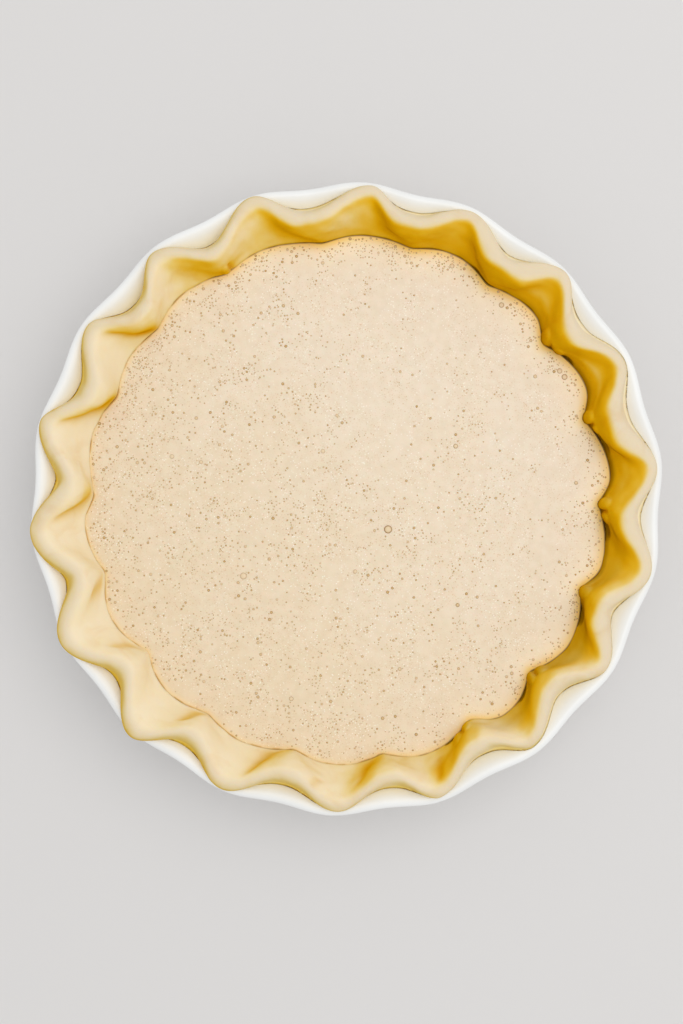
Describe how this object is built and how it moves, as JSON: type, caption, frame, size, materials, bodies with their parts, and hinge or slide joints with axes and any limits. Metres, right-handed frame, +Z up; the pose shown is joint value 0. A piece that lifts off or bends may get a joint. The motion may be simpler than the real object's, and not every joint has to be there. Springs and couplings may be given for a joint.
{
  "type": "unbaked custard pie",
  "caption": "Round unbaked custard pie: a fluted raw pastry case in a white ruffled ceramic dish, filled with liquid custard dotted with small bubbles.",
  "frame": {"origin": "centre of the dish's foot, on the surface it stands on", "axes": "+Z up through the middle of the pie; +Y towards the top of the picture and +X towards its right"},
  "size_m": [0.2786, 0.2798, 0.0514],
  "materials": {
    "glazed_ceramic": "white glazed ceramic, smooth and glossy",
    "raw_pastry": "raw buttery pastry, soft satin with a faint mottle",
    "custard": "liquid custard with fine foam, soft gloss, dotted with small amber bubbles"
  },
  "bodies": {
    "root": {"dish": "glazed_ceramic", "pastry_case": "raw_pastry", "custard": "custard"}
  },
  "joints": []
}
